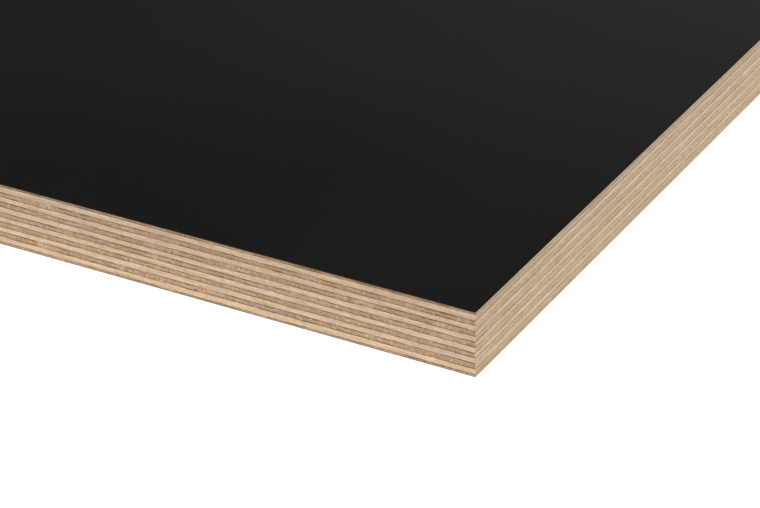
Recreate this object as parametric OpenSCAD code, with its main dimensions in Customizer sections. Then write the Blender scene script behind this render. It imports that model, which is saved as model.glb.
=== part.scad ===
// Film-faced birch plywood sheet.
// Veneers are laid crosswise on each other, pressed together with dark resin glue,
// sawn to size, and faced on both sides with a black resin film.
// The sheet lies flat: X is its long side, Y its short side, Z its thickness.
// The origin is the middle of the underside.

/* [Sheet] */
// Length of the sheet
sheet_length = 2500; // [300:1:3850]
// Width of the sheet
sheet_width = 1250; // [150:1:1525]

/* [Films] */
// Thickness of the resin film on the top face
film_top_t = 0.15; // [0.1:0.01:0.6]
// Thickness of the resin film on the underside
film_bottom_t = 0.15; // [0.1:0.01:0.6]

/* [Veneers] */
// Number of veneers between the face veneer and the back veneer, odd so that the sheet stays balanced
inner_veneer_count = 11; // [1:2:19]
// Thickness of the face veneer, thinned by sanding before the film is pressed on
face_veneer_t = 0.6; // [0.3:0.05:1.6]
// Thickness of each inner veneer
inner_veneer_t = 1.5; // [0.8:0.05:3.2]
// Thickness of the back veneer, also thinned by sanding
back_veneer_t = 0.6; // [0.3:0.05:1.6]

/* [Colours] */
// Colour of the resin films
film_colour = "#201F1D";
// Colour of the veneers whose grain runs along the short side
short_grain_colour = "#C4A682";
// Colour of the veneers whose grain runs along the long side
long_grain_colour = "#DCC09A";

/* [Hidden] */
inner_stack_t = inner_veneer_count * inner_veneer_t;

// Height of the underside of each layer, from the bottom film up
back_veneer_z = film_bottom_t;
inner_stack_z = back_veneer_z + back_veneer_t;
face_veneer_z = inner_stack_z + inner_stack_t;
film_top_z = face_veneer_z + face_veneer_t;

// The inner veneers are counted from the face downwards
function inner_veneer_name(n) = str("inner_veneer_", n < 10 ? "0" : "", n);
function inner_veneer_z(n) = face_veneer_z - n * inner_veneer_t;

// One flat layer of the sheet, centred on the origin, with its underside at height z
module layer(z, thickness) {
    translate([-sheet_length / 2, -sheet_width / 2, z])
        cube([sheet_length, sheet_width, thickness]);
}

module film_top() {
    color(film_colour) layer(film_top_z, film_top_t);
}

module face_veneer() {
    color(short_grain_colour) layer(face_veneer_z, face_veneer_t);
}

// Every other veneer lies crosswise: the first one under the face has its grain along the long side
module inner_veneer(n) {
    color(n % 2 == 1 ? long_grain_colour : short_grain_colour)
        layer(inner_veneer_z(n), inner_veneer_t);
}

module back_veneer() {
    color(short_grain_colour) layer(back_veneer_z, back_veneer_t);
}

module film_bottom() {
    color(film_colour) layer(0, film_bottom_t);
}

film_top();
face_veneer();
for (n = [1 : inner_veneer_count])
    inner_veneer(n);
back_veneer();
film_bottom();
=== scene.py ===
# %% [markdown]
# # A film-faced birch plywood sheet
# Plywood is made of thin birch veneers, each peeled from a turning log like paper from a roll. They are
# laid crosswise on each other, pressed hot with dark resin glue, and sawn to size. A black resin film is
# pressed on both faces. The faces are plain, so the looks of the sheet are in its sawn edges, where every
# veneer shows. This lesson builds each layer as a piece of its own, with edges that wander as the real
# ones do, and then gives the wood, the glue and the film a procedural finish.
#
# The measured frame of the sheet comes first. Every place below is worked out from it, in metres.

import math

import bpy
import numpy as np
from mathutils import Matrix, Vector, noise


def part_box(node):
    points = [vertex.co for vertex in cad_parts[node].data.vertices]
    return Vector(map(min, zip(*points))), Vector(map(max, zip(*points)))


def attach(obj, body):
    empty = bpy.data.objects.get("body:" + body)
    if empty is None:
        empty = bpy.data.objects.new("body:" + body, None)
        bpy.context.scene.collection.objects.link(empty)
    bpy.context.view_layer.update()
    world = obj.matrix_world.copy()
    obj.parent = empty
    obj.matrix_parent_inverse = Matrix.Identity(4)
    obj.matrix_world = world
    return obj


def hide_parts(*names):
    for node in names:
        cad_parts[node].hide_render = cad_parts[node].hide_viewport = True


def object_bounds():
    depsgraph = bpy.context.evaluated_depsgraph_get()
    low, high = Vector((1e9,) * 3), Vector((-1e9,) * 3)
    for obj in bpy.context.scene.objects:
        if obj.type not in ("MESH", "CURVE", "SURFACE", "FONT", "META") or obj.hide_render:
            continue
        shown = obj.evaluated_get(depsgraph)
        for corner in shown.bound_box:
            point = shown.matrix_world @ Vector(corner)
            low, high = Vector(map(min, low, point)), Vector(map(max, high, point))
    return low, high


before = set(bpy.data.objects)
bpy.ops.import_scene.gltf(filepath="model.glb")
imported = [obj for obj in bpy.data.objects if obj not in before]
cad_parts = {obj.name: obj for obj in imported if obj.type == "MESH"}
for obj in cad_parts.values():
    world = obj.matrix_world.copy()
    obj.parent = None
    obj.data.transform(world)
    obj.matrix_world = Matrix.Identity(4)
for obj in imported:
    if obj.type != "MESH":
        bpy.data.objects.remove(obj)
cad_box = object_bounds()

MM = 0.001
low, high = [Vector(corner) for corner in cad_box]
half_length = (high.x - low.x) / 2
half_width = (high.y - low.y) / 2
layers = sorted(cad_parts, key=lambda name: -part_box(name)[0].z)
veneers = [name for name in layers if "veneer" in name]
print("sheet", [round(side / MM) for side in high - low], "mm,", len(layers), "layers from", layers[0])

# %% [markdown]
# ## Where the points round the edge go
# The eye goes to the corners, so points lie close together there and further apart along the straight
# edges. One formula spaces them: a straight line from 0 to 1, with a sine wave taken off it. Each side has
# a number of steps that can be halved again and again, because the flat faces behind the edge need fewer
# and fewer points towards the middle.

# %% Points round the sheet
CORNER_CROWDING = 0.8
LONG_STEPS = 1280
SHORT_STEPS = 640


def crowded(steps):
    even = np.arange(steps) / steps
    return even - CORNER_CROWDING * np.sin(2 * np.pi * even) / (2 * np.pi)


def round_the_sheet():
    long_way = 2 * crowded(LONG_STEPS) - 1
    short_way = 2 * crowded(SHORT_STEPS) - 1
    front = np.column_stack([long_way, -np.ones(LONG_STEPS)])
    right = np.column_stack([np.ones(SHORT_STEPS), short_way])
    return np.vstack([front, right, -front, -right]) * (half_length, half_width)


outline = round_the_sheet()
count = len(outline)
gaps = np.linalg.norm(np.roll(outline, -1, 0) - outline, axis=1)
print(count, "points, from", (gaps.min() / MM).round(2), "to", (gaps.max() / MM).round(2), "mm apart")

# %% [markdown]
# ## Glue lines that wander
# Veneers give a little under the hot press, so a joint between two of them is never a ruled line. It rises
# and falls by a tenth of a millimetre or so, and by two at most. Each joint gets a smooth wave from noise
# that is read at the point's own place on the sheet, so the wave turns the corner without a step. The two
# veneers that meet there share the same wave, so they neither gape nor overlap. A film is an even 0.15 mm
# sheet, so the joints at the films wander far less. The seeds only choose which part of the noise is read.

# %% Heights of the joints
LONG_WAVE = 45 * MM
SHORT_WAVE = 9 * MM
WANDER = 0.18 * MM
QUIVER = 0.10 * MM
FILM_SHARE = 0.15
WANDER_SEED = 0
QUIVER_SEED = 50
JOINT_SEED_STEP = 7.3


def wave(spacing, seed):
    return np.array([noise.noise(Vector((x / spacing, y / spacing, seed))) for x, y in outline])


def joint_heights(number, height):
    seed = JOINT_SEED_STEP * number
    offset = WANDER * wave(LONG_WAVE, WANDER_SEED + seed) + QUIVER * wave(SHORT_WAVE, QUIVER_SEED + seed)
    at_film = number in (0, len(layers) - 2)
    return height + offset * (FILM_SHARE if at_film else 1)


tops = [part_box(name)[1].z for name in layers]
joints = [np.full(count, high.z)]
for number, height in enumerate(tops[1:]):
    joints.append(joint_heights(number, height))
joints.append(np.full(count, low.z))
wander = max(np.ptp(joint) for joint in joints)
print(len(joints) - 2, "joints, at most", round(wander / MM, 3), "mm from lowest to highest point")

# %% [markdown]
# ## The wall round a layer
# A layer is a wall round its edge and two flat faces. The wall is a stack of rings, each a copy of the
# outline at its own height and set in a little from the sheet's true edge. Every pair of rings is joined by
# four-cornered faces, one for each gap between two points.

# %% Rings and walls


def ring(heights, inset):
    inset = np.broadcast_to(inset, count)[:, None]
    xy = outline * (1 - inset / (half_length, half_width))
    return np.column_stack([xy, np.broadcast_to(heights, count)])


def wall_faces(rows):
    here = np.arange(count)
    after = (here + 1) % count
    faces = []
    for row in range(rows - 1):
        a = row * count
        faces.append(np.column_stack([a + here, a + after, a + count + after, a + count + here]))
    return np.vstack(faces).tolist()


print("a wall of two rings has", len(wall_faces(2)), "faces")

# %% [markdown]
# ## The flat faces
# The flats between layers are hidden, and a film's flat face is plain, so neither needs many points. Each
# goes inwards in rings. Every ring has half the points of the one outside it, and each step inwards is twice
# the last, so a few rings lead from the crowded rim to a coarse and even grid, which fills the middle.

# %% Flat faces
HALVINGS = 6
FIRST_STEP_IN = 0.8 * MM
GRID_LONG = LONG_STEPS >> HALVINGS
GRID_SHORT = SHORT_STEPS >> HALVINGS


def middle_grid(points, start):
    """Fills the innermost ring, whose points begin at start, with rows and columns between its sides."""
    total = 2 * (GRID_LONG + GRID_SHORT)
    height = points[start][2]
    grid = {}
    for i in range(GRID_LONG + 1):
        grid[i, 0] = start + i
        grid[GRID_LONG - i, GRID_SHORT] = start + GRID_LONG + GRID_SHORT + i
    for j in range(GRID_SHORT + 1):
        grid[GRID_LONG, j] = start + GRID_LONG + j
        grid[0, GRID_SHORT - j] = start + (2 * GRID_LONG + GRID_SHORT + j) % total
    for i in range(1, GRID_LONG):
        for j in range(1, GRID_SHORT):
            grid[i, j] = len(points)
            points.append((points[grid[i, 0]][0], points[grid[GRID_LONG, j]][1], height))
    return [
        (grid[i, j], grid[i + 1, j], grid[i + 1, j + 1], grid[i, j + 1])
        for i in range(GRID_LONG)
        for j in range(GRID_SHORT)
    ]


def flat_face(points, rim, height, upward):
    """Closes a layer from its rim inwards. rim is where the rim's points begin in the list."""
    faces = []
    size, start, inset, step = count, rim, 0.0, FIRST_STEP_IN
    for level in range(1, HALVINGS + 1):
        inset += step
        step *= 2
        ratio = (1 - inset / half_length, 1 - inset / half_width)
        fresh = len(points)
        points.extend((x, y, height) for x, y in outline[:: 2**level] * ratio)
        half = size // 2
        for i in range(half):
            a, b, c = start + 2 * i, start + 2 * i + 1, start + (2 * i + 2) % size
            d, e = fresh + i, fresh + (i + 1) % half
            faces += [(a, b, d), (b, e, d), (b, c, e)]
        size, start = half, fresh
    faces += middle_grid(points, start)
    return faces if upward else [face[::-1] for face in faces]


print("each flat face ends in a grid of", GRID_LONG, "by", GRID_SHORT, "squares")

# %% [markdown]
# ## One closed mesh for each layer
# Wall and flats share their rim points, so the mesh is closed, like the solid it stands for. The normals
# are smoothed only where faces meet at a small angle. The arris between wall and flat stays sharp.

# %% Build a layer
SHARP_ANGLE = math.radians(35)


def build_layer(name, rows, lowest, highest):
    """rows is a list of (heights, inset) from the lower rim to the upper one."""
    points = np.vstack([ring(heights, inset) for heights, inset in rows]).tolist()
    faces = wall_faces(len(rows))
    wall_count = len(faces)
    faces += flat_face(points, 0, lowest, upward=False)
    faces += flat_face(points, (len(rows) - 1) * count, highest, upward=True)
    mesh = bpy.data.meshes.new(name)
    mesh.from_pydata(points, [], faces)
    mesh.validate()
    mesh.set_sharp_from_angle(angle=SHARP_ANGLE)
    piece = bpy.data.objects.new(name, mesh)
    bpy.context.scene.collection.objects.link(piece)
    return piece, wall_count


print("faces that meet at more than", round(math.degrees(SHARP_ANGLE)), "degrees keep a sharp edge")

# %% [markdown]
# ## A map for each layer
# Other programs can't read node recipes, so these have to be painted onto a flat picture for each layer. A
# layer's edge is a ribbon 7.5 m long and 1.5 mm high, which would shrink to nothing on a square picture.
# Here the ribbon is folded into rows, like the lines of a page, and the hidden flat faces share a small
# patch below it. The edge then fills most of the picture, at nearly the same scale each way.

# %% Lay out the map
MAP_NAME = "OFBake"
VENEER_ROWS = 64
ROW_FILL = 0.8
along = np.append(0, np.cumsum(gaps))


def fold_edge(shares, rows, box):
    """Map places for the corners of the wall faces. shares says how high each ring is, from 0 to 1."""
    left, bottom, right, top = box
    length = along[-1] / rows
    row = np.minimum(along[:-1] // length, rows - 1)
    scale = (right - left) / (length + gaps.max())
    start = left + scale * (along[:-1] - row * length)
    end = start + scale * gaps
    row_height = (top - bottom) / rows
    levels = [bottom + row_height * (row + ROW_FILL * share) for share in shares]
    bands = [np.stack([start, a, end, a, end, b, start, b], 1) for a, b in zip(levels, levels[1:])]
    return np.vstack(bands).reshape(-1, 2)


def read_numbers(items, name, width, kind=float):
    values = np.empty(len(items) * width, kind)
    items.foreach_get(name, values)
    return values.reshape(-1, width)


def lay_out_map(mesh, shares, rows, edge_box, lower_box, upper_box):
    edge = fold_edge(shares, rows, edge_box)
    spots = read_numbers(mesh.vertices, "co", 3)
    corners = read_numbers(mesh.loops, "vertex_index", 1, np.int32)[len(edge):, 0]
    sizes = read_numbers(mesh.polygons, "loop_total", 1, np.int32)[:, 0]
    faces_up = np.repeat(read_numbers(mesh.polygons, "normal", 3)[:, 2] > 0, sizes)[len(edge):]
    share = (spots[corners, :2] / (half_length, half_width) + 1) / 2
    boxes = np.where(faces_up[:, None], upper_box, lower_box)
    flat = boxes[:, :2] + share * (boxes[:, 2:] - boxes[:, :2])
    layer = mesh.uv_layers.new(name=MAP_NAME)
    layer.data.foreach_set("uv", np.vstack([edge, flat]).ravel())


print("a row of a veneer's map holds", round(along[-1] / VENEER_ROWS / MM, 1), "mm of the edge")

# %% [markdown]
# ## What the saw leaves
# A saw leaves each veneer's edge a hair in or out from its neighbours, because wood cut across the grain
# springs back differently from wood cut along it. The hard resin at a joint chips out a little, which
# leaves a shallow groove there. Both are a few hundredths of a millimetre. The groove is a narrow slope at
# the top and bottom of the wall. The depth of the cut differs from veneer to veneer, and a fine wave along
# it stands for the saw's teeth.

# %% Saw marks and grooves
SAW_DEPTH = 0.03 * MM
SAW_SWING = 0.5
SAW_WAVE = 2.2 * MM
SAW_SEED = 200
SAW_SEED_STEP = 3.7
SAW_TURN = 9.1
GROOVE_DEPTH = 0.02 * MM
GROOVE_REACH = 0.09 * MM


def sawn_inset(number):
    chatter = wave(SAW_WAVE, SAW_SEED + SAW_SEED_STEP * number)
    step = math.sin(SAW_TURN * number)
    return SAW_DEPTH * (1 + SAW_SWING * step + SAW_SWING * np.clip(chatter, -1, 1))


def sawn_profile(number, thickness):
    """How high each ring of a veneer is, as a share of its thickness, and how far it is set in."""
    groove = GROOVE_REACH / thickness
    shares = [0, groove, 0.5, 1 - groove, 1]
    inset = sawn_inset(number)
    return shares, [inset + depth for depth in (GROOVE_DEPTH, 0, 0, 0, GROOVE_DEPTH)]


print("veneers 0 to 2 are set in by", [round(float(sawn_inset(n).mean()) / MM, 3) for n in range(3)], "mm")

# %% [markdown]
# ## Numbers that the finish reads
# The wood's finish has to know where the glue is and how the saw met the grain. Each veneer carries that
# with it as attributes, which are numbers stored on its points or faces:
#
# - from_glue_mm: how far a point is from the nearest glue line. The resin of the film soaks the thin face
#   veneer nearly through, so its distances are cut short.
# - share_up: how far up the veneer a point is, from 0 to 1.
# - veneer: which veneer it is, so that no two have the same pattern.
# - heartwood: how much brown wood from the heart of the log is in it. The lowest thick veneer has most.
# - tone_and_painted_floor_light: how light a veneer's wood is as a whole. It differs at random from one
#   veneer to the next, and is partly painted light: the lower veneers are made paler, as if lit more by the
#   white floor.
# - cut_across: 0 where the saw ran along the grain, 1 where it cut straight across it. The short edges are
#   trimmed with a finer blade and the outer veneers are sanded, so there it is less than 1.
# - on_edge: 1 on the sawn edge, 0 on the flats.

# %% Numbers on a veneer
LAST = len(veneers) - 1
SOAKED_SHARE = 0.48
HEART_SHARE = {2: 0.12, 5: 0.15, 8: 0.12, 11: 0.9}
# Tones of the veneers from the top down. They differ at random, and they also rise towards the bottom as
# painted light: the lower veneers come out paler, as if lit more by the white floor.
TONE_AND_PAINTED_FLOOR_LIGHT = [0.93, 0.94, 0.98, 0.97, 0.99, 1.0, 1.0, 1.01, 1.01, 1.03, 1.01, 1.07, 1.02]
SHORT_EDGE_OPEN = 0.45
OUTER_OPEN = 0.8

on_long_edge = np.zeros(count)
on_long_edge[:LONG_STEPS] = 1
on_long_edge[LONG_STEPS + SHORT_STEPS: 2 * LONG_STEPS + SHORT_STEPS] = 1


def grain_runs_long(number):
    return number % 2 == 1


def how_open(number):
    cut_across = SHORT_EDGE_OPEN * (1 - on_long_edge) if grain_runs_long(number) else on_long_edge
    return cut_across * OUTER_OPEN if number in (0, LAST) else cut_across


def distance_from_glue(number, share, thickness):
    below = share if number < LAST else np.ones_like(share)
    above = 1 - share if number > 0 else np.ones_like(share)
    distance = np.minimum(below, above) * thickness / MM
    return distance * SOAKED_SHARE if number == 0 else distance


def give_numbers(mesh, name, domain, values):
    mesh.attributes.new(name, "FLOAT", domain).data.foreach_set("value", np.asarray(values, float))


def mark_veneer(mesh, number, share, thickness, wall_count):
    points = len(mesh.vertices)
    rest = np.zeros(points - share.size)
    from_glue = distance_from_glue(number, share, thickness)
    give_numbers(mesh, "from_glue_mm", "POINT", np.append(from_glue.ravel(), rest))
    give_numbers(mesh, "share_up", "POINT", np.append(share.ravel(), rest))
    give_numbers(mesh, "veneer", "POINT", np.full(points, number))
    give_numbers(mesh, "heartwood", "POINT", np.full(points, HEART_SHARE.get(number, 0.0)))
    give_numbers(mesh, "tone_and_painted_floor_light", "POINT", np.full(points, TONE_AND_PAINTED_FLOOR_LIGHT[number]))
    flat = np.zeros(len(mesh.polygons) - wall_count)
    bands = wall_count // count
    give_numbers(mesh, "cut_across", "FACE", np.append(np.tile(how_open(number), bands), flat))
    give_numbers(mesh, "on_edge", "FACE", np.append(np.ones(wall_count), flat))


print("veneers 0 to 3 are cut across on the long edges by", [float(how_open(n)[0]) for n in range(4)])

# %% [markdown]
# ## The veneers
# Each veneer of the frame is now cut: five rings for its wall, its numbers, its map. It rides on the
# sheet's one body and takes the place of the plain node.

# %% Cut the veneers
VENEER_MAP = [(0.002, 0.065, 0.998, 0.998), (0.002, 0.002, 0.49, 0.055), (0.51, 0.002, 0.998, 0.055)]


def cut_veneer(number, name, upper, lower):
    thickness = upper - lower
    shares, insets = sawn_profile(number, thickness)
    rows = [(lower + share * thickness, inset) for share, inset in zip(shares, insets)]
    lowest, highest = [corner.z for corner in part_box(name)]
    piece, wall_count = build_layer("sawn_" + name, rows, lowest, highest)
    share = np.vstack([np.broadcast_to(s, count) for s in shares])
    mark_veneer(piece.data, number, share, thickness, wall_count)
    lay_out_map(piece.data, share.mean(1), VENEER_ROWS, *VENEER_MAP)
    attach(piece, "root")
    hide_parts(name)
    return piece


veneer_pieces = []
for number, name in enumerate(veneers):
    veneer_pieces.append(cut_veneer(number, name, joints[number + 1], joints[number + 2]))
print(len(veneer_pieces), "veneers,", sum(len(p.data.polygons) for p in veneer_pieces), "faces")

# %% [markdown]
# ## The films
# The film is kraft paper soaked in phenolic resin and cured under the press, 0.15 mm thick and as hard as
# a laminate. The saw breaks its arris very slightly, by an amount that varies along it. A film's wall has
# only three rings: the joint, the start of the broken arris, and the edge of the face.

# %% Press on the films
ARRIS = 0.05 * MM
ARRIS_SWING = 0.5
ARRIS_WAVE = 1.3 * MM
ARRIS_SEED = 400
ARRIS_SHARE = 0.33
FILM_ROWS = 16
FILM_MAP = [(0.002, 0.002, 0.998, 0.24), (0.002, 0.26, 0.46, 0.48), (0.002, 0.49, 0.998, 0.998)]


def press_film(name, rows, shares, boxes):
    lowest, highest = [corner.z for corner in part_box(name)]
    piece, wall_count = build_layer("pressed_" + name, rows, lowest, highest)
    flat = np.zeros(len(piece.data.polygons) - wall_count)
    give_numbers(piece.data, "on_edge", "FACE", np.append(np.ones(wall_count), flat))
    lay_out_map(piece.data, shares, FILM_ROWS, *boxes)
    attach(piece, "root")
    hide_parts(name)
    return piece


broken = ARRIS * (1 + ARRIS_SWING * wave(ARRIS_WAVE, ARRIS_SEED))
top_rows = [(joints[1], 0), (high.z - broken, 0), (high.z, broken)]
bottom_rows = [(low.z, broken), (low.z + broken, 0), (joints[-2], 0)]
edge_box, small_box, large_box = FILM_MAP
top_film = press_film(layers[0], top_rows, [0, 1 - ARRIS_SHARE, 1], [edge_box, small_box, large_box])
bottom_film = press_film(layers[-1], bottom_rows, [0, ARRIS_SHARE, 1], [edge_box, large_box, small_box])
print("films with an arris broken by", (broken.min() / MM).round(3), "to", (broken.max() / MM).round(3), "mm")

# %% [markdown]
# ## Helpers for the finishes
# Colours are written as sRGB hex values, as a colour picker shows them, and one function turns them to the
# linear values that light works in. Another adds a node with its settings and links. A third starts an
# empty material, which is called a finish here.

# %% Node helpers


def linear(colour):
    values = [int(colour[i: i + 2], 16) / 255 for i in (1, 3, 5)]
    return [v / 12.92 if v <= 0.04045 else ((v + 0.055) / 1.055) ** 2.4 for v in values] + [1.0]


def add(tree, kind, settings=None, **links):
    """Adds a node. settings are its own properties. links are its inputs: by name, with _ for a space,
    or by number, as in n0. Each takes another node's output or a plain value."""
    node = tree.nodes.new(kind)
    for key, value in (settings or {}).items():
        setattr(node, key, value)
    for key, value in links.items():
        socket = node.inputs[int(key[1:]) if key[0] == "n" and key[1:].isdigit() else key.replace("_", " ")]
        if isinstance(value, bpy.types.NodeSocket):
            tree.links.new(value, socket)
        else:
            socket.default_value = value
    return node


def new_finish(name):
    material = bpy.data.materials.new(name)
    material.use_nodes = True
    tree = material.node_tree
    tree.nodes.clear()
    return material, tree


print("half-way grey #808080 reflects", round(linear("#808080")[0], 3), "of the light")

# %% [markdown]
# ## Black phenolic film
# Phenolic resin is a hard, dark plastic. The press plate leaves it smooth and half glossy, and the wood
# under it shows through only as the faintest long ripples. To the eye it is a calm black that takes on a
# soft sheen towards the light. Where the saw cuts the film, the brown of the soaked paper shows.
#
# A resin of this kind has an IOR of about 1.55, and it is no metal, so metallic stays 0. The paper's grain
# is 0.35 mm across and under a thousandth of a millimetre high, and the ripples are 60 mm long and 1.4 mm
# wide. Both are far too shallow for geometry, so they are bump. Slow clouds, 90 mm across, vary the gloss
# a little.

# %% Film finish
FILM_BLACK = "#100e0b"
FILM_SAWN = "#5e4a38"
FILM_IOR = 1.55
FILM_GLOSS = (0.28, 0.34)
CLOUD = 90.0
CLOUD_RANGE = (0.3, 0.7)
PAPER_GRAIN = 0.35
PAPER_HEIGHT = 0.0008 * MM
RIPPLE = (1.4, 60.0, 1.4)
RIPPLE_HEIGHT = 0.0015 * MM


def film_finish():
    finish, tree = new_finish("phenolic_film_black")
    place = add(tree, "ShaderNodeTexCoord").outputs["Object"]
    in_mm = add(tree, "ShaderNodeVectorMath", {"operation": "SCALE"}, Vector=place, Scale=1 / MM).outputs[0]
    on_edge = add(tree, "ShaderNodeAttribute", {"attribute_name": "on_edge"}).outputs["Fac"]
    cloud = add(tree, "ShaderNodeTexNoise", Vector=in_mm, Scale=1 / CLOUD, Detail=3.0)
    gloss = add(
        tree, "ShaderNodeMapRange", Value=cloud.outputs["Fac"],
        n1=CLOUD_RANGE[0], n2=CLOUD_RANGE[1], n3=FILM_GLOSS[0], n4=FILM_GLOSS[1],
    )
    drawn_out = add(tree, "ShaderNodeVectorMath", {"operation": "DIVIDE"}, n0=in_mm, n1=RIPPLE)
    ripple = add(tree, "ShaderNodeTexNoise", Vector=drawn_out.outputs[0], Scale=1.0, Detail=3.0)
    grain = add(tree, "ShaderNodeTexNoise", Vector=in_mm, Scale=1 / PAPER_GRAIN, Detail=2.0)
    low_bump = add(tree, "ShaderNodeBump", Height=ripple.outputs["Fac"], Distance=RIPPLE_HEIGHT)
    bump = add(
        tree, "ShaderNodeBump",
        Height=grain.outputs["Fac"], Distance=PAPER_HEIGHT, Normal=low_bump.outputs[0],
    )
    colour = add(
        tree, "ShaderNodeMix", {"data_type": "RGBA"},
        n0=on_edge, n6=linear(FILM_BLACK), n7=linear(FILM_SAWN),
    )
    shader = add(
        tree, "ShaderNodeBsdfPrincipled",
        Base_Color=colour.outputs[2], Roughness=gloss.outputs[0], Normal=bump.outputs[0], IOR=FILM_IOR,
    )
    add(tree, "ShaderNodeOutputMaterial", Surface=shader.outputs[0])
    return finish


phenolic_film = film_finish()
for film in (top_film, bottom_film):
    film.data.materials.append(phenolic_film)
print(phenolic_film.name, "on", top_film.name, "and", bottom_film.name)

# %% [markdown]
# ## Patterns in birch
# Birch is pale, close-grained and almost without pattern. What shows on the sheet's edge depends on how the
# saw met the grain. A veneer cut along its grain is light and smooth, with long faint streaks. A veneer cut
# across it shows the ends of the fibres: it is darker, because light goes down the open pores, and it is
# speckled. It also has short slanting cracks, called lathe checks, on the side where the knife bent the
# veneer open as it was peeled.
#
# One recipe makes both kinds of veneer. It reads the wood as a solid block, so its patterns are drawn out
# along the grain and meet at the corners of the sheet. Each pattern is noise, listed with its real size in
# millimetres: along the grain, across it, and through the thickness. Its range says which part of the noise
# goes from none to full. Pores are 0.1 mm wide and would not show, so the speckle is drawn three times as
# coarse.

# %% Birch patterns
PATTERNS = {
    "zones": {"sizes": (60, 9, 1.6), "detail": 2, "range": (0.40, 0.62)},
    "tint": {"sizes": (32, 6, 2.5), "detail": 2, "range": (0.42, 0.62)},
    "streaks": {"sizes": (9, 1.2, 0.60), "detail": 4, "range": (0.38, 0.66)},
    "flecks": {"sizes": (1.3, 0.5, 0.34), "detail": 3, "range": (0.40, 0.70)},
    "speckle": {"sizes": (6, 0.32, 0.30), "detail": 3, "range": (0.42, 0.64)},
    "mottle": {"sizes": (20, 1.3, 0.8), "detail": 3, "range": (0.38, 0.62)},
    "checks": {"sizes": (12, 0.36, 2.4), "detail": 2, "range": (0.52, 0.66)},
    "heart": {"sizes": (200, 14, 1.8), "detail": 3, "range": (0.30, 0.56)},
    "glue_run": {"sizes": (8, 5, 40), "detail": 5, "range": (0.34, 0.62)},
    "glue_edge": {"sizes": (1.0, 0.7, 0.6), "detail": 3, "range": (0.30, 0.70)},
}
CHECK_SLANT = 0.8
CHECK_SIDE = (0.35, 0.85)
PATTERN_SEED_STEP = 5.37


def lean_sideways(tree, in_mm, grain_axis):
    """Shifts the wood across its grain by its height, so that upright cracks come out slanting."""
    slant = (0, CHECK_SLANT, 0) if grain_axis == "X" else (CHECK_SLANT, 0, 0)
    up = add(tree, "ShaderNodeSeparateXYZ", Vector=in_mm).outputs["Z"]
    lean = add(tree, "ShaderNodeVectorMath", {"operation": "SCALE"}, Vector=slant, Scale=up).outputs[0]
    return add(tree, "ShaderNodeVectorMath", {"operation": "ADD"}, n0=in_mm, n1=lean).outputs[0]


def draw_pattern(tree, recipe, grain_axis, source, seed):
    along_grain, across, through = recipe["sizes"]
    sizes = (along_grain, across, through) if grain_axis == "X" else (across, along_grain, through)
    drawn_out = add(tree, "ShaderNodeVectorMath", {"operation": "DIVIDE"}, n0=source, n1=sizes)
    cloud = add(
        tree, "ShaderNodeTexNoise", {"noise_dimensions": "4D"},
        Vector=drawn_out.outputs[0], W=seed, Scale=1.0, Detail=recipe["detail"],
    )
    least, most = recipe["range"]
    return add(tree, "ShaderNodeMapRange", Value=cloud.outputs["Fac"], n1=least, n2=most).outputs[0]


def draw_patterns(tree, grain_axis, read):
    place = add(tree, "ShaderNodeTexCoord").outputs["Object"]
    in_mm = add(tree, "ShaderNodeVectorMath", {"operation": "SCALE"}, Vector=place, Scale=1 / MM).outputs[0]
    leaning = lean_sideways(tree, in_mm, grain_axis)
    seed = add(
        tree, "ShaderNodeMath", {"operation": "MULTIPLY"},
        n0=read["veneer"], n1=PATTERN_SEED_STEP,
    ).outputs[0]
    pattern = {}
    for title, recipe in PATTERNS.items():
        source = leaning if title == "checks" else in_mm
        pattern[title] = draw_pattern(tree, recipe, grain_axis, source, seed)
    open_side = add(
        tree, "ShaderNodeMapRange",
        Value=read["share_up"], n1=CHECK_SIDE[0], n2=CHECK_SIDE[1], n3=1.0, n4=0.0,
    ).outputs[0]
    pattern["checks"] = add(
        tree, "ShaderNodeMath", {"operation": "MULTIPLY"},
        n0=pattern["checks"], n1=open_side,
    ).outputs[0]
    return pattern


print(len(PATTERNS), "patterns, the finest", min(min(r["sizes"]) for r in PATTERNS.values()), "mm")

# %% [markdown]
# ## Colours of birch
# Each kind of cut starts from one colour. Every tint in its list then draws it towards another colour,
# where its pattern is strong, by at most the amount given. A cut along the grain stays cream and only gets
# warmer or browner in places. A cut across it is a greyish tan with brown pores and checks. Heartwood is
# redder, and shows only where the grain is cut across. Last, each veneer is made darker or paler as a whole,
# partly at random and partly as painted light, which makes the lower veneers paler, as if lit by the floor.

# %% Birch colours
SIDE_GRAIN = "#dec6ac"
SIDE_TINTS = [
    ("zones", 0.65, "#e0bc90"),
    ("tint", 0.45, "#d9caa2"),
    ("streaks", 0.6, "#b59470"),
    ("flecks", 0.55, "#a48464"),
]
END_GRAIN = "#dec09b"
END_TINTS = [
    ("zones", 0.8, "#be9d8f"),
    ("tint", 0.8, "#b8a78b"),
    ("mottle", 0.5, "#9e7e5b"),
    ("speckle", 0.76, "#836448"),
    ("checks", 0.55, "#77583b"),
]
HEARTWOOD = "#b2824d"


def tint_wood(tree, first, tints, pattern):
    colour = linear(first)
    for title, amount, towards in tints:
        part = add(tree, "ShaderNodeMath", {"operation": "MULTIPLY"}, n0=pattern[title], n1=amount)
        colour = add(
            tree, "ShaderNodeMix", {"data_type": "RGBA"},
            n0=part.outputs[0], n6=colour, n7=linear(towards),
        ).outputs[2]
    return colour


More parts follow.
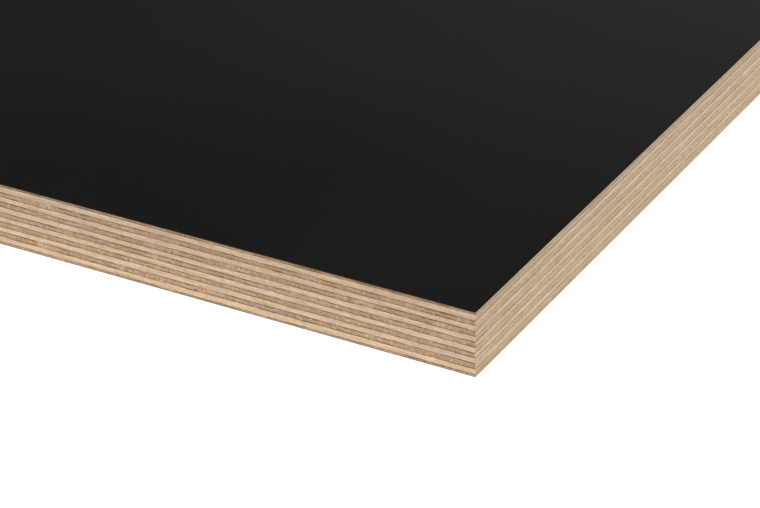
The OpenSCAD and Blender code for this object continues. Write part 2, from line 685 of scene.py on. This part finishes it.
def colour_wood(tree, pattern, read):
    side = tint_wood(tree, SIDE_GRAIN, SIDE_TINTS, pattern)
    end = tint_wood(tree, END_GRAIN, END_TINTS, pattern)
    brown = add(
        tree, "ShaderNodeMath", {"operation": "MULTIPLY"},
        n0=read["heartwood"], n1=pattern["heart"],
    )
    end = add(
        tree, "ShaderNodeMix", {"data_type": "RGBA"},
        n0=brown.outputs[0], n6=end, n7=linear(HEARTWOOD),
    )
    wood = add(
        tree, "ShaderNodeMix", {"data_type": "RGBA"},
        n0=read["cut_across"], n6=side, n7=end.outputs[2],
    )
    # Painted light: the veneer's tone scales its colour, which makes the lower veneers paler, as if lit by
    # the floor.
    return add(
        tree, "ShaderNodeVectorMath", {"operation": "SCALE"},
        Vector=wood.outputs[2], Scale=read["tone_and_painted_floor_light"],
    ).outputs[0]


print("wood cut along the grain", SIDE_GRAIN, "and across it", END_GRAIN)

# %% [markdown]
# ## Glue lines
# Phenolic glue cures to a dark red-brown. It is squeezed to almost nothing under the press, so a glue line
# is mostly a stain: the resin soaks 0.1 mm into the sides of the fibres and 0.4 mm into their open ends.
# The stain is full at the joint and fades out with distance. It reaches further in some places than others,
# and it is weaker where little glue was spread.

# %% Glue stain
GLUE = "#53310f"
GLUE_REACH_SIDE = 0.13
GLUE_REACH_END = 0.42
GLUE_RAGGED = (0.3, 1.7)
GLUE_STRENGTH = (0.20, 1.0)


def soak_with_glue(tree, wood, pattern, read):
    plain_reach = add(
        tree, "ShaderNodeMapRange",
        Value=read["cut_across"], n3=GLUE_REACH_SIDE, n4=GLUE_REACH_END,
    )
    ragged = add(
        tree, "ShaderNodeMapRange",
        Value=pattern["glue_edge"], n3=GLUE_RAGGED[0], n4=GLUE_RAGGED[1],
    )
    reach = add(
        tree, "ShaderNodeMath", {"operation": "MULTIPLY"},
        n0=plain_reach.outputs[0], n1=ragged.outputs[0],
    )
    nearness = add(
        tree, "ShaderNodeMapRange", {"interpolation_type": "SMOOTHSTEP"},
        Value=read["from_glue_mm"], n1=0.0, n2=reach.outputs[0], n3=1.0, n4=0.0,
    )
    strength = add(
        tree, "ShaderNodeMapRange",
        Value=pattern["glue_run"], n3=GLUE_STRENGTH[0], n4=GLUE_STRENGTH[1],
    )
    stain = add(
        tree, "ShaderNodeMath", {"operation": "MULTIPLY"},
        n0=nearness.outputs[0], n1=strength.outputs[0],
    )
    return add(
        tree, "ShaderNodeMix", {"data_type": "RGBA"},
        n0=stain.outputs[0], n6=wood, n7=linear(GLUE),
    ).outputs[2]


print("glue", GLUE, "reaches", GLUE_REACH_SIDE, "to", GLUE_REACH_END, "mm into the wood")

# %% [markdown]
# ## Sawn birch
# A sawn edge is matt, with no polish at all, so its roughness is high, at 0.72. Wood has an IOR of about
# 1.5. The open pores are hollows 0.02 mm deep, too small for geometry, so they are bump. The flats between
# veneers are covered with glue. The recipe is run twice, once for each way that the grain can run.

# %% Birch finish
NUMBERS = ("veneer", "from_glue_mm", "share_up", "cut_across", "heartwood", "tone_and_painted_floor_light", "on_edge")
BIRCH_ROUGHNESS = 0.72
BIRCH_IOR = 1.5
PORE_DEPTH = 0.02 * MM


def birch_finish(name, grain_axis):
    finish, tree = new_finish(name)
    read = {}
    for number in NUMBERS:
        read[number] = add(tree, "ShaderNodeAttribute", {"attribute_name": number}).outputs["Fac"]
    pattern = draw_patterns(tree, grain_axis, read)
    edge = soak_with_glue(tree, colour_wood(tree, pattern, read), pattern, read)
    colour = add(
        tree, "ShaderNodeMix", {"data_type": "RGBA"},
        n0=read["on_edge"], n6=linear(GLUE), n7=edge,
    )
    pores = add(tree, "ShaderNodeBump", {"invert": True}, Height=pattern["speckle"], Distance=PORE_DEPTH)
    shader = add(
        tree, "ShaderNodeBsdfPrincipled",
        Base_Color=colour.outputs[2], Roughness=BIRCH_ROUGHNESS, Normal=pores.outputs[0], IOR=BIRCH_IOR,
    )
    add(tree, "ShaderNodeOutputMaterial", Surface=shader.outputs[0])
    return finish


short_grain = birch_finish("birch_veneer_short_grain", "Y")
long_grain = birch_finish("birch_veneer_long_grain", "X")
for number, piece in enumerate(veneer_pieces):
    piece.data.materials.append(long_grain if grain_runs_long(number) else short_grain)
print(long_grain.name, "and", short_grain.name, "with", len(long_grain.node_tree.nodes), "nodes each")

# %% [markdown]
# ## The floor
# The board lies on a seamless roll of matte white paper. Uncoated paper is a felt of fibres, so it
# scatters light every way and has no gloss. It is lit so brightly that it comes out pure white, and it
# throws light back up onto the sawn edges.

# %% Floor
FLOOR_HALF = 30.0
PAPER_WHITE = "#f6f6f6"
floor_mesh = bpy.data.meshes.new("studio_floor")
floor_mesh.from_pydata(
    [(x * FLOOR_HALF, y * FLOOR_HALF, low.z) for x, y in ((-1, -1), (1, -1), (1, 1), (-1, 1))],
    [], [(0, 1, 2, 3)],
)
floor = bpy.data.objects.new("studio_floor", floor_mesh)
bpy.context.scene.collection.objects.link(floor)
floor_finish, tree = new_finish("matte_white_paper")
paper = add(
    tree, "ShaderNodeBsdfPrincipled",
    Base_Color=linear(PAPER_WHITE), Roughness=1.0, Specular_IOR_Level=0.0,
)
add(tree, "ShaderNodeOutputMaterial", Surface=paper.outputs[0])
floor_mesh.materials.append(floor_finish)
print("floor", [round(side) for side in floor.dimensions], "m")

# %% [markdown]
# ## The camera
# The camera looks down at the sheet's front right corner from about 70 cm away, through a long lens, so
# the edges run out of the picture on both sides. It stands 30 degrees round from the front and 29 degrees
# up, and is rolled by less than a degree. Two numbers say which point of the top face is in the middle of
# the picture.

# %% Camera
CAMERA_ROUND = math.radians(29.534)
CAMERA_UP = math.radians(29.115)
CAMERA_ROLL = math.radians(-0.600)
CAMERA_LENS = 135.42
CAMERA_SENSOR = 36
CAMERA_SEES = (10 * MM, 100)
CAMERA_AWAY = 707.0 * MM
AIM_FROM_RIGHT = 34.15 * MM
AIM_FROM_FRONT = 14.32 * MM


def direction_to(round_angle, up_angle):
    """The way towards a camera or a lamp: round from the front to the right, then up."""
    level = math.cos(up_angle)
    return Vector((math.sin(round_angle) * level, -math.cos(round_angle) * level, math.sin(up_angle)))


back = direction_to(CAMERA_ROUND, CAMERA_UP)
level_right = Vector((math.cos(CAMERA_ROUND), math.sin(CAMERA_ROUND), 0))
level_up = back.cross(level_right)
right = math.cos(CAMERA_ROLL) * level_right + math.sin(CAMERA_ROLL) * level_up
up = math.cos(CAMERA_ROLL) * level_up - math.sin(CAMERA_ROLL) * level_right
aim = Vector((high.x - AIM_FROM_RIGHT, low.y + AIM_FROM_FRONT, high.z))
place = aim + back * CAMERA_AWAY
turn = Matrix((right, up, back)).transposed().to_4x4()
camera = bpy.data.objects.new("camera", bpy.data.cameras.new("camera"))
camera.data.lens = CAMERA_LENS
camera.data.sensor_width = CAMERA_SENSOR
camera.data.clip_start, camera.data.clip_end = CAMERA_SEES
camera.matrix_world = Matrix.Translation(place) @ turn
bpy.context.scene.collection.objects.link(camera)
bpy.context.scene.camera = camera
print("camera at", [round(side, 3) for side in place], "m")

# %% [markdown]
# ## The lamps
# Two soft lamps light the sheet. The first is a wide panel overhead and a little to the right of the front.
# It is soft enough to leave no shadow beside an 18 mm board. The second is a dim, bluish one low on the
# right and behind, like a window. It makes the short edge a little cooler than the long one.
#
# Seen from above, the black film would mirror the panel and look grey. A studio stops that with polarising
# filters. Here the panel is marked so that nothing glossy mirrors it, though it still lights everything.

# %% Lamps
OVERHEAD = {
    "up": 70,
    "round": 21,
    "softness": 40,
    "energy": 3.70,
    "colour": (1.0, 1.0, 1.0),
    "mirrored": False,
}
WINDOW = {
    "up": 20,
    "round": 120,
    "softness": 30,
    "energy": 0.36,
    "colour": (0.50, 0.80, 1.05),
    "mirrored": True,
}


def hang_lamp(name, light):
    lamp = bpy.data.objects.new(name, bpy.data.lights.new(name, "SUN"))
    lamp.data.energy = light["energy"]
    lamp.data.angle = math.radians(light["softness"])
    lamp.data.color = light["colour"]
    lamp.visible_glossy = light["mirrored"]
    towards = direction_to(math.radians(light["round"]), math.radians(light["up"]))
    lamp.rotation_euler = towards.to_track_quat("Z", "Y").to_euler()
    bpy.context.scene.collection.objects.link(lamp)
    return lamp


lamps = [hang_lamp("overhead_panel", OVERHEAD), hang_lamp("window", WINDOW)]
print("lamps", [lamp.name for lamp in lamps])

# %% [markdown]
# ## The room
# A black film shows what stands around it more than its own colour. Here that is a room with a dark
# ceiling, a low white wall all round, and a brighter glow above the wall at the back right, like daylight
# from a window. The film mirrors the glow faintly where it is seen at a shallow angle, so it is darkest at
# the near corner and lightens towards the back right.
#
# A direction's height sets how far up the wall and the glow reach. A dot product says how nearly it points
# to the bright side: 1 straight at it, 0 at right angles. The brighter of wall and glow is what shows. The
# Standard view shows each colour as it is, with no tone curve laid over it.

# %% Room
WALL_TOP = math.radians(5)
WALL_GONE = math.radians(10)
DARK_FROM = math.radians(24)
WALL_LIGHT = 1.0
GLOW_LIGHT = 1.5
CEILING_LIGHT = 0.02
BRIGHT_SIDE = math.radians(45)
GLOW_STARTS = 0.12
GLOW_FULL = 0.5
DIM_SIDE_SHARE = 0.25

world = bpy.data.worlds.new("studio")
bpy.context.scene.world = world
world.use_nodes = True
tree = world.node_tree
direction = add(tree, "ShaderNodeTexCoord").outputs["Generated"]
height = add(tree, "ShaderNodeSeparateXYZ", Vector=direction).outputs["Z"]
wall = add(
    tree, "ShaderNodeMapRange", {"interpolation_type": "SMOOTHSTEP"},
    Value=height, n1=math.sin(WALL_TOP), n2=math.sin(WALL_GONE), n3=WALL_LIGHT, n4=0.0,
)
glow = add(
    tree, "ShaderNodeMapRange", {"interpolation_type": "SMOOTHSTEP"},
    Value=height, n1=0.0, n2=math.sin(DARK_FROM), n3=GLOW_LIGHT, n4=CEILING_LIGHT,
)
sideways = add(
    tree, "ShaderNodeVectorMath", {"operation": "DOT_PRODUCT"},
    n0=direction, n1=(math.sin(BRIGHT_SIDE), math.cos(BRIGHT_SIDE), 0),
)
side_share = add(
    tree, "ShaderNodeMapRange",
    Value=sideways.outputs["Value"], n1=GLOW_STARTS, n2=GLOW_FULL, n3=DIM_SIDE_SHARE, n4=1.0,
)
uneven = add(
    tree, "ShaderNodeMath", {"operation": "MULTIPLY"},
    n0=glow.outputs[0], n1=side_share.outputs[0],
)
strength = add(
    tree, "ShaderNodeMath", {"operation": "MAXIMUM"},
    n0=wall.outputs[0], n1=uneven.outputs[0],
)
backdrop = tree.nodes["Background"]
backdrop.inputs["Color"].default_value = (1, 1, 1, 1)
tree.links.new(strength.outputs[0], backdrop.inputs["Strength"])
bpy.context.scene.view_settings.view_transform = "Standard"
print("room: white wall to", round(math.degrees(WALL_TOP)), "degrees up")
